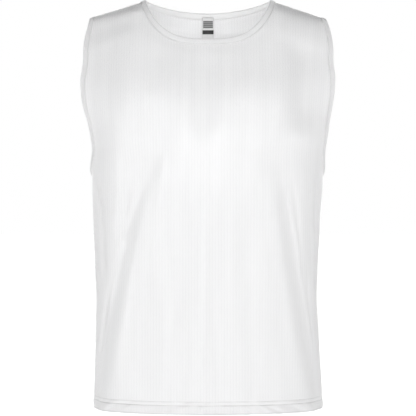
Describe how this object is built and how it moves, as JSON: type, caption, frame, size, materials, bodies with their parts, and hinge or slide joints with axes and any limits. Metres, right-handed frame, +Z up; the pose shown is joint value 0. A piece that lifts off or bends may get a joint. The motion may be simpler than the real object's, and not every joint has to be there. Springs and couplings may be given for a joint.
{
  "type": "training bib",
  "caption": "Sleeveless mesh polyester sports bib with a wide round neck, bound neck and armholes and a turned-up hem, filled out as worn and hollow.",
  "frame": {"origin": "midway between the two shoulder seams, level with their neck ends, where the bib rests on the wearer's shoulders", "axes": "+Z up along the wearer, -Y out of the front, +X to the wearer's left"},
  "size_m": [0.4409, 0.2448, 0.707],
  "materials": {
    "mesh_polyester": "fine white warp-knit mesh with a faint satin sheen",
    "binding_polyester": "white knit strip, folded and stitched",
    "label_satin": "smooth white woven satin"
  },
  "bodies": {
    "root": {"front_panel": "mesh_polyester", "back_panel": "mesh_polyester", "neck_binding": "binding_polyester", "armhole_binding_left": "binding_polyester", "armhole_binding_right": "binding_polyester", "neck_label": "label_satin"}
  },
  "joints": []
}
